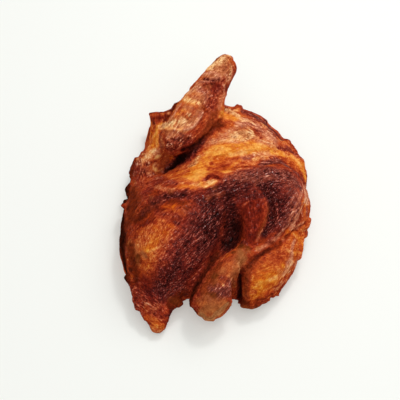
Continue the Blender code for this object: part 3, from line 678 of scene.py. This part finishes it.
def pixels_of(points):
    """The photograph's pixels at which points, in millimetres, show."""
    out = points * MM - np.array(EYE)
    scale = MIDDLE_AWAY / (MM_PER_PX * MM) / -(out @ np.array(BACK))
    half = FRAME_PX / 2
    return np.stack([half + out @ np.array(RIGHT) * scale, half - out @ np.array(UP) * scale], axis=1)


def strokes(table):
    """Each line of a table, as its name, its numbers and its stations."""
    for line in table.strip().splitlines():
        if not line.startswith("#"):
            name, numbers, stations = line.split(":")
            spots = [[float(number) for number in spot.split(",")] for spot in stations.split()]
            yield name, [float(number) for number in numbers.split()], spots


TONES = {name: np.array(traits) for name, traits, _ in strokes(KINDS)}


def smooth_line(rows, step):
    """A smooth line through the rows, with a point about every step along its first two numbers."""
    rows = np.array(rows, float)
    padded = np.vstack([2 * rows[0] - rows[1], rows, 2 * rows[-1] - rows[-2]])
    line = []
    for k in range(len(rows) - 1):
        a, b, c, d = padded[k : k + 4]
        count = max(2, round(float(np.linalg.norm((c - b)[:2])) / step))
        for t in np.linspace(0, 1, count, endpoint=False):
            bend = (2 * a - 5 * b + 4 * c - d) * t**2 + (3 * b - a - 3 * c + d) * t**3
            line.append(b + 0.5 * ((c - a) * t + bend))
    line.append(rows[-1])
    return np.array(line)


def nearness(points, spots, reaches):
    """1 on the line through the spots, falling evenly to 0 at their reaches from it, and below."""
    most = reaches.max() * 1.5
    inside = np.all((points > spots.min(axis=0) - most) & (points < spots.max(axis=0) + most), axis=1)
    chosen = points[inside]
    best = np.full(len(chosen), 2.0)
    for k in range(len(spots) - 1):
        along = spots[k + 1] - spots[k]
        if np.linalg.norm(along) > JUMP:
            along = along * 0
        share = np.clip((chosen - spots[k]) @ along / max(along @ along, 1e-9), 0, 1)
        reach = reaches[k] + share * (reaches[k + 1] - reaches[k])
        away = np.linalg.norm(chosen - spots[k] - share[:, None] * along, axis=1) / reach
        best = np.minimum(best, away)
    result = np.full(len(points), 2.0)
    result[inside] = best
    return 1 - result


def eased(value):
    """0 to 1 with soft ends."""
    value = np.clip(value, 0, 1)
    return value * value * (3 - 2 * value)


# ---------------------------------------------------------------- noise

# How far a seed moves the noise; rough noise's parts, how much weaker each finer one is, and their range
SEED_STEP, ROUGH_PARTS, FINER_SHARE, ROUGH_RANGE = 7.31, 3, 0.6, 1.4


def lattice(cells, seed):
    """A number from 0 to 1 for each cell of a grid."""
    x, y, z = cells.astype(np.int64).T
    mixed = (x * 73856093) ^ (y * 19349663) ^ (z * 83492791) ^ (seed * 83492789)
    mixed = ((mixed ^ (mixed >> 13)) * 1274126177) & 0x7FFFFFFF
    mixed = ((mixed ^ (mixed >> 15)) * 668265263) & 0x7FFFFFFF
    return ((mixed >> 8) & 0xFFFF) / 0xFFFF


def waves(points, size, seed):
    """Smooth noise from -1 to 1 whose swells are about that long."""
    scaled = points / size + seed * SEED_STEP
    cells = np.floor(scaled)
    t = scaled - cells
    t = t * t * t * (t * (t * 6 - 15) + 10)
    total = np.zeros(len(points))
    for corner in np.ndindex(2, 2, 2):
        share = np.prod(np.where(corner, t, 1 - t), axis=1)
        total += share * lattice(cells + corner, seed)
    return 2 * total - 1


def rough(points, share, size, seed):
    """Noise from about -1 to 1 times a share, with finer noise on it."""
    total = np.zeros(len(points))
    for k in range(ROUGH_PARTS):
        total += waves(points, size / 2**k, seed + k) * FINER_SHARE**k
    return share * (total / ROUGH_RANGE)


def layered(points, layers):
    """The sum of several waves."""
    return sum(share * waves(points, size, seed) for share, size, seed in layers)


def pebbles(points, size, seed):
    """Distance to the nearest of points scattered about that far apart, in sizes."""
    scaled = points / size
    cells = np.floor(scaled)
    nearest = np.full(len(points), 9.0)
    for corner in np.ndindex(3, 3, 3):
        cell = cells + corner - 1
        spot = cell + np.stack([lattice(cell, seed + k) for k in range(3)], axis=1)
        nearest = np.minimum(nearest, np.linalg.norm(scaled - spot, axis=1))
    return nearest


# ---------------------------------------------------------------- the skin's points


class Skin:
    """The skin's mesh, with its points, in millimetres, and their outward ways."""

    def __init__(self, mesh):
        self.mesh = mesh
        self.read()

    def read(self):
        flat = np.zeros(len(self.mesh.vertices) * 3)
        self.mesh.vertices.foreach_get("co", flat)
        self.points = flat.reshape(-1, 3) / MM
        flat = np.zeros(len(self.mesh.vertices) * 3)
        self.mesh.vertex_normals.foreach_get("vector", flat)
        self.normals = flat.reshape(-1, 3)
        self.tree = BVHTree.FromPolygons(
            [v.co.copy() for v in self.mesh.vertices], [tuple(p.vertices) for p in self.mesh.polygons]
        )

    def even_out(self, weights, steps):
        """Moves each point toward the middle of its neighbours by its weight, that many times."""
        flat = np.zeros(len(self.mesh.edges) * 2, dtype=np.int64)
        self.mesh.edges.foreach_get("vertices", flat)
        start, end = flat.reshape(-1, 2).T
        count = len(self.points)
        neighbours = np.bincount(start, minlength=count) + np.bincount(end, minlength=count)
        for _ in range(steps):
            total = np.stack([
                np.bincount(start, values[end], count) + np.bincount(end, values[start], count)
                for values in self.points.T
            ], axis=1)
            self.points += weights[:, None] * (total / neighbours[:, None] - self.points)
        self.mesh.vertices.foreach_set("co", (self.points * MM).ravel())
        self.mesh.update()
        self.read()

    def under(self, x, y):
        """The point of the skin under a pixel, or the one nearest to its ray."""
        way = ray_through(x, y)
        hit = self.tree.ray_cast(EYE, way)[0]
        if hit is None:
            level = EYE + way * ((MIDDLE.z / 2 - EYE.z) / way.z)
            hit = self.tree.find_nearest(level)[0]
        return np.array(hit) / MM

    def near(self, stations):
        """How near each point is to the skin's line under the stations' pixels."""
        line = smooth_line(stations, SPOT_STEP)
        spots = np.array([self.under(x, y) for x, y, _ in line])
        return nearness(self.points, spots, line[:, 2] * MM_PER_PX)

    def near_in_view(self, stations):
        """How near each point shows to the stations' line in the photograph."""
        line = smooth_line(stations, SPOT_STEP)
        return nearness(pixels_of(self.points), line[:, :2], line[:, 2])


def fine_copy(node):
    """A fine, even and relaxed copy of the solid's surface, its level underside one face."""
    obj = bpy.data.objects.new("skin", node.data.copy())
    bpy.context.scene.collection.objects.link(obj)
    remesh = obj.modifiers.new("even", "REMESH")
    remesh.mode = "VOXEL"
    remesh.voxel_size = CELL * MM
    relax = obj.modifiers.new("relax", "SMOOTH")
    relax.factor = RELAX_SHARE
    relax.iterations = RELAX_STEPS
    bpy.context.view_layer.update()
    graph = bpy.context.evaluated_depsgraph_get()
    mesh = bpy.data.meshes.new_from_object(obj.evaluated_get(graph))
    bpy.data.objects.remove(obj)
    bm = bmesh.new()
    bm.from_mesh(mesh)
    facing = [f for f in bm.faces if f.normal.z < UNDERSIDE_FACES]
    under = [f for f in facing if f.calc_center_median().z < UNDERSIDE * MM]
    bmesh.ops.delete(bm, geom=under, context="FACES")
    rim = [e for e in bm.edges if e.is_boundary]
    for edge in rim:
        edge.smooth = False
        for vert in edge.verts:
            vert.co.z = 0
    bmesh.ops.holes_fill(bm, edges=rim, sides=0)
    bmesh.ops.recalc_face_normals(bm, faces=bm.faces)
    bm.to_mesh(mesh)
    bm.free()
    return mesh


def streaks(skin):
    """Noise from -1 to 1 that runs with the skin's grain, and how much it runs in each of the ways."""
    total = np.zeros(len(skin.points))
    weights = np.full(len(skin.points), LEAST_WEIGHT / 10)
    shares = {name: np.zeros(len(skin.points)) for name in WAYS}
    for seed, (name, start, end, reach) in enumerate(GRAIN):
        a, b = skin.under(*start), skin.under(*end)
        length = np.linalg.norm(b - a)
        way = (b - a) / length
        across = skin.points - (a + b) / 2
        along = np.clip(across @ way, -length / 2, length / 2)
        away = np.linalg.norm(across - np.outer(along, way), axis=1)
        weight = np.exp(-4 * (away / (reach * MM_PER_PX)) ** 2) + LEAST_WEIGHT
        squeezed = skin.points - np.outer(skin.points @ way, way) * SQUEEZE
        total += weight * layered(squeezed, ((0.6, 1.4, seed), (0.5, 2.8, seed + 40)))
        weights += weight
        shares[name] += weight
    return total / weights, {name: share / weights for name, share in shares.items()}


def browning(skin, run):
    """The skin's kind at each point, as its tone's traits, painted by the strokes in their order. Some
    strokes, rims and dabs paint shade and some paint highlights.
    """
    points = skin.points
    tone = np.tile(TONES[BASE_TONE], (len(points), 1))
    tone[:, BROWN] += rough(points, *BLOTCHES)
    tone[:, RED] += rough(points, *FLUSHES)
    rag = rough(points, *TATTERS) + layered(points, RAGS) + RUN_RAG * run

    def paint(name, cover, near, fade, raggedness=1.0):
        slope, rest, ragged = fade
        cover = cover * eased(slope * near + rest + ragged * raggedness * rag)
        tone[:] += cover[:, None] * (TONES[name] - tone)

    for name, (strength, raggedness), stations in strokes(BROWNING_AND_PAINTED_LIGHT):
        paint(name, strength, skin.near(stations), STROKE_FADE, raggedness)
    faced = eased(1 + 3 * skin.normals @ np.array(BACK))
    for name, (strength,), stations in strokes(RIMS):
        paint(name, strength * faced, skin.near_in_view(stations), RIM_FADE)
    for name, (strength,), spots in strokes(DABS):
        for x, y, reach in spots:
            paint(name, strength, skin.near(((x, y, reach), (x + 1, y, reach))), DAB_FADE)
    low = eased(1.2 - points[:, 2] / DARKENED_TO)
    tone[:, BROWN] += FOOT_SHARE * low * (FOOT_BROWNING - tone[:, BROWN])
    tone[:, OILY] *= eased(points[:, 2] / DULL_TO)
    return tone


def relief(skin, tone, run):
    """The skin's height at each point, and its fine part."""
    points = skin.points
    height = rough(points, *LUMPS) + layered(points, SWELLS)
    bump_height, bump_size, bump_seed = BUMPS
    bumps = bump_height * (0.5 - np.clip(pebbles(points, bump_size, bump_seed), 0, 1))
    crepe = CREPE_LEVEL - np.abs(layered(points, CREASES)) + layered(points, CREPE)
    fine = (BUMP_LEAST + BUMP_MORE * tone[:, PEBBLED]) * bumps
    fine += (RUN_LEAST + RUN_MORE * tone[:, STREAKED]) * run
    fine += CREPE_MOST * tone[:, WRINKLED] * crepe + layered(points, GRIT)
    broken = layered(points, BREAKS)
    for _, (lift,), stations in strokes(RELIEF):
        height += lift * eased(1.1 * skin.near(stations) + broken)
    return height + fine, fine


def dressed(skin, height):
    """Moves the skin out by its relief, crinkles its lower edge, and keeps it on the level it lies on."""
    points, normals = skin.points, skin.normals
    low = eased(1 - points[:, 2] / CRINKLED_TO)
    level = normals * (1, 1, 0)
    edge = layered(points, EDGE_CRINKLES)
    for _, _, stations in strokes(SMOOTH_EDGES):
        edge *= 1 - CALM_SHARE * eased(2 * skin.near_in_view(stations))
    moved = points + normals * height[:, None] + level * (low * edge)[:, None]
    for _, (right, down), stations in strokes(SHIFTS):
        share = eased(1.5 * skin.near_in_view(stations))
        moved[:, 0] += share * right * MM_PER_PX
        moved[:, 1] -= share * down * MM_PER_PX / UP.y
    moved[points[:, 2] < LEVEL, 2] = 0
    moved[:, 2] = np.maximum(moved[:, 2], 0)
    skin.mesh.vertices.foreach_set("co", (moved * MM).ravel())
    skin.mesh.update()


def set_values(mesh, name, values):
    attribute = mesh.attributes.new(name, "FLOAT", "POINT")
    attribute.data.foreach_set("value", np.clip(values, 0, 1).astype(np.float32))


# ---------------------------------------------------------------- material


def linear(screen):
    """A colour's linear values, from screen values between 0 and 255."""
    values = [c / 255 for c in screen]
    return [c / 12.92 if c <= 0.04045 else ((c + 0.055) / 1.055) ** 2.4 for c in values] + [1.0]


class Nodes:
    """Short names for building a material's nodes."""

    def __init__(self, tree):
        self.tree = tree

    def add(self, kind, **settings):
        node = self.tree.nodes.new(kind)
        for key, value in settings.items():
            setattr(node, key, value)
        return node

    def link(self, source, target):
        self.tree.links.new(source, target)

    def value(self, name):
        """A trait of the skin, as set_values() stored it."""
        node = self.add("ShaderNodeAttribute", attribute_name=name, attribute_type="GEOMETRY")
        return node.outputs["Fac"]

    def math(self, operation, a, b, clamp=False):
        node = self.add("ShaderNodeMath", operation=operation, use_clamp=clamp)
        for socket, source in zip(node.inputs, (a, b)):
            if isinstance(source, (int, float)):
                socket.default_value = source
            else:
                self.link(source, socket)
        return node.outputs[0]

    def plus(self, a, b, clamp=False):
        return self.math("ADD", a, b, clamp)

    def minus(self, a, b, clamp=False):
        return self.math("SUBTRACT", a, b, clamp)

    def times(self, a, b, clamp=False):
        return self.math("MULTIPLY", a, b, clamp)

    def noise(self, place, size, detail):
        """Noise from about -0.5 to 0.5 whose swells are about that long."""
        node = self.add("ShaderNodeTexNoise", noise_dimensions="3D")
        node.inputs["Scale"].default_value = 1 / (size * MM)
        node.inputs["Detail"].default_value = detail
        self.link(place, node.inputs["Vector"])
        return self.minus(node.outputs["Fac"], 0.5)

    def streaks(self, place, way, streaks):
        """Noise from about -0.5 to 0.5, drawn out along a way."""
        width, stretch = streaks
        node = self.add("ShaderNodeMapping", vector_type="TEXTURE")
        node.inputs["Rotation"].default_value = Vector(way).to_track_quat("X", "Z").to_euler()
        node.inputs["Scale"].default_value = (stretch, 1, 1)
        self.link(place, node.inputs["Vector"])
        return self.noise(node.outputs["Vector"], width, 1.0)

    def ramp(self, factor, stops):
        node = self.add("ShaderNodeValToRGB")
        ramp = node.color_ramp
        while len(ramp.elements) < len(stops):
            ramp.elements.new(0.5)
        for element, (position, screen) in zip(ramp.elements, stops):
            element.position = position
            element.color = linear(screen)
        self.link(factor, node.inputs["Fac"])
        return node.outputs["Color"]

    def plain(self, screen):
        node = self.add("ShaderNodeRGB")
        node.outputs[0].default_value = linear(screen)
        return node.outputs[0]

    def mix(self, factor, a, b):
        """A mix of two colours, which the node takes at its inputs 6 and 7."""
        node = self.add("ShaderNodeMix", data_type="RGBA")
        self.link(factor, node.inputs[0])
        self.link(a, node.inputs[6])
        self.link(b, node.inputs[7])
        return node.outputs[2]


def skin_material():
    """Grilled skin: colour by browning, redness and tan, with fine speckle and painted glints, and a film of
    fat on it.
    """
    material = bpy.data.materials.new("grilled_skin")
    material.use_nodes = True
    nodes = Nodes(material.node_tree)
    shader = material.node_tree.nodes["Principled BSDF"]
    place = nodes.add("ShaderNodeTexCoord").outputs["Object"]
    speckle = nodes.noise(place, SPECKLE_SIZE, 1.5)
    mottle = nodes.noise(place, MOTTLE_SIZE, 4.0)
    pebble = nodes.add("ShaderNodeTexVoronoi", feature="F1")
    pebble.inputs["Scale"].default_value = 1 / (PEBBLE_SIZE * MM)
    nodes.link(place, pebble.inputs["Vector"])
    dots = nodes.minus(1.0, nodes.times(pebble.outputs["Distance"], 1.8), clamp=True)
    dots = nodes.times(nodes.minus(dots, 0.2), nodes.value("pebbled"))
    run = 0.0
    for name, way in WAYS.items():
        broad = nodes.times(nodes.streaks(place, way, BROAD_STREAKS), BROAD_SHARE)
        both = nodes.plus(nodes.streaks(place, way, FINE_STREAKS), broad)
        run = nodes.plus(nodes.times(both, nodes.value("run_" + name)), run)
    run = nodes.times(run, RUN_STRENGTH)
    wrinkles = nodes.times(nodes.streaks(place, WAYS["steep"], WRINKLE_STREAKS), nodes.value("wrinkled"))
    # Painted glints: a mask on the tops of the streaks and pebbles, which lightens and tints the colour as
    # highlights would
    painted_glints = nodes.minus(nodes.plus(run, nodes.times(dots, 0.35)), 0.1)
    painted_glints = nodes.times(painted_glints, 5.0, clamp=True)

    speckle = nodes.times(speckle, nodes.times(nodes.value("grainy"), SPECKLE_BROWNS))
    brown = nodes.plus(nodes.value("brown"), speckle)
    brown = nodes.plus(brown, nodes.times(mottle, MOTTLE_BROWNS))
    brown = nodes.minus(brown, nodes.times(run, RUN_BROWNS))
    brown = nodes.minus(brown, nodes.times(wrinkles, WRINKLE_BROWNS))
    # Painted highlight: the glint mask lightens the browning
    lit = nodes.times(painted_glints, nodes.times(nodes.value("grainy"), GLINT_BROWNS))
    brown = nodes.minus(brown, lit, clamp=True)
    red = nodes.plus(nodes.value("red"), nodes.times(mottle, MOTTLE_REDDENS), clamp=True)
    colour = nodes.mix(red, nodes.ramp(brown, GOLDEN), nodes.ramp(brown, REDDISH))
    colour = nodes.mix(nodes.value("mauve"), colour, nodes.ramp(brown, ASHEN))
    colour = nodes.mix(nodes.value("tan"), colour, nodes.ramp(brown, TANNED))
    # Painted highlight: the glint mask tints pebbled skin pale pink
    painted_glints = nodes.times(painted_glints, nodes.times(nodes.value("pebbled"), GLINT_PALENESS))
    colour = nodes.mix(painted_glints, colour, nodes.plain(GLINT_COLOUR))
    nodes.link(colour, shader.inputs["Base Color"])

    fat = nodes.plus(nodes.noise(place, FAT_SIZE, 2.0), nodes.plus(run, nodes.times(dots, 0.4)))
    fat = nodes.times(nodes.minus(fat, 0.02), 4.0, clamp=True)
    nodes.link(nodes.times(fat, nodes.value("oily")), shader.inputs["Coat Weight"])
    shader.inputs["Coat Roughness"].default_value = 0.15
    shader.inputs["Roughness"].default_value = 0.5
    shader.inputs["Specular IOR Level"].default_value = 0.0
    bump = nodes.add("ShaderNodeBump")
    bump.inputs["Strength"].default_value = 1.0
    bump.inputs["Distance"].default_value = BUMP_HEIGHT
    grit = nodes.plus(nodes.noise(place, GRIT_SIZE, 3.0), nodes.plus(dots, run))
    nodes.link(nodes.plus(grit, nodes.times(wrinkles, 2.0)), bump.inputs["Height"])
    nodes.link(bump.outputs["Normal"], shader.inputs["Normal"])
    return material


def floor_material():
    """A pale surface that gives off some light of its own, so that shadows on it are faint."""
    material = bpy.data.materials.new("pale_floor")
    material.use_nodes = True
    inputs = material.node_tree.nodes["Principled BSDF"].inputs
    inputs["Base Color"].default_value = linear((190, 191, 188))
    inputs["Roughness"].default_value = 0.6
    inputs["Specular IOR Level"].default_value = 0.2
    inputs["Emission Color"].default_value = linear((251, 253, 246))
    inputs["Emission Strength"].default_value = 0.36
    return material


# ---------------------------------------------------------------- pieces, floor and light


def make_skin(node):
    mesh = fine_copy(node)
    skin = Skin(mesh)
    hollow = np.max([skin.near(stations) for _, _, stations in strokes(HOLLOWS)], axis=0)
    skin.even_out(EVEN_SHARE * eased(1.2 * hollow) * (skin.points[:, 2] > 1.0), EVEN_STEPS)
    run, shares = streaks(skin)
    tone = browning(skin, run)
    height, fine = relief(skin, tone, run)
    dressed(skin, height)
    brown, red, tan, mauve, pebbled, streaked, wrinkled, oily = tone.T
    traits = {
        # Painted shade and highlight: darker in the hollows of the fine relief, lighter on its tops
        "brown": brown - FINE_SHADE_AND_HIGHLIGHT * fine,
        "red": red,
        "tan": tan,
        "mauve": mauve,
        "pebbled": pebbled,
        "wrinkled": wrinkled,
        "grainy": 0.2 + 0.35 * streaked + 0.1 * pebbled + 0.6 * wrinkled,
        "oily": oily,
    }
    traits.update({"run_" + name: 0.5 * share * streaked for name, share in shares.items()})
    for name, values in traits.items():
        set_values(mesh, name, values)
    mesh.materials.clear()
    mesh.materials.append(skin_material())
    piece = bpy.data.objects.new("skin", mesh)
    bpy.context.scene.collection.objects.link(piece)
    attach(piece, "root")
    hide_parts(NODE)


def make_floor():
    bm = bmesh.new()
    bmesh.ops.create_grid(bm, x_segments=1, y_segments=1, size=FLOOR_REACH)
    mesh = bpy.data.meshes.new("floor")
    bm.to_mesh(mesh)
    bm.free()
    mesh.materials.append(floor_material())
    floor = bpy.data.objects.new("floor", mesh)
    floor.location.z = -FLOOR_DROP
    bpy.context.scene.collection.objects.link(floor)


def soft_light(name, location, size, power):
    data = bpy.data.lights.new(name, "AREA")
    data.size = size
    data.energy = power
    light = bpy.data.objects.new(name, data)
    light.location = location
    light.rotation_euler = Vector(location).to_track_quat("Z", "Y").to_euler()
    bpy.context.scene.collection.objects.link(light)


def make_light():
    soft_light("key", (0.5, 0.6, 1.1), 1.0, 7.2)
    soft_light("glint", (0.3, 0.55, 1.1), 0.2, 4.0)
    soft_light("fill", (0.1, -0.6, 1.3), 1.4, 6.5)
    world = bpy.data.worlds.new("studio")
    world.use_nodes = True
    background = world.node_tree.nodes["Background"]
    background.inputs["Color"].default_value = (1.0, 1.0, 1.0, 1.0)
    background.inputs["Strength"].default_value = 0.48
    bpy.context.scene.world = world
    bpy.context.scene.view_settings.view_transform = "Standard"


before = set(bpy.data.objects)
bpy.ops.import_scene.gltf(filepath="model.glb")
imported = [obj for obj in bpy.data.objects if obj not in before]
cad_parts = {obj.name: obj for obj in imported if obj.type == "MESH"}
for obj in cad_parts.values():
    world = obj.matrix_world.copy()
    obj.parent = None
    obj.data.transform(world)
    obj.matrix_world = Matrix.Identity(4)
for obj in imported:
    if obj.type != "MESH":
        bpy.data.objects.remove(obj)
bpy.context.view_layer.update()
make_camera()
make_skin(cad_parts[NODE])
make_floor()
make_light()
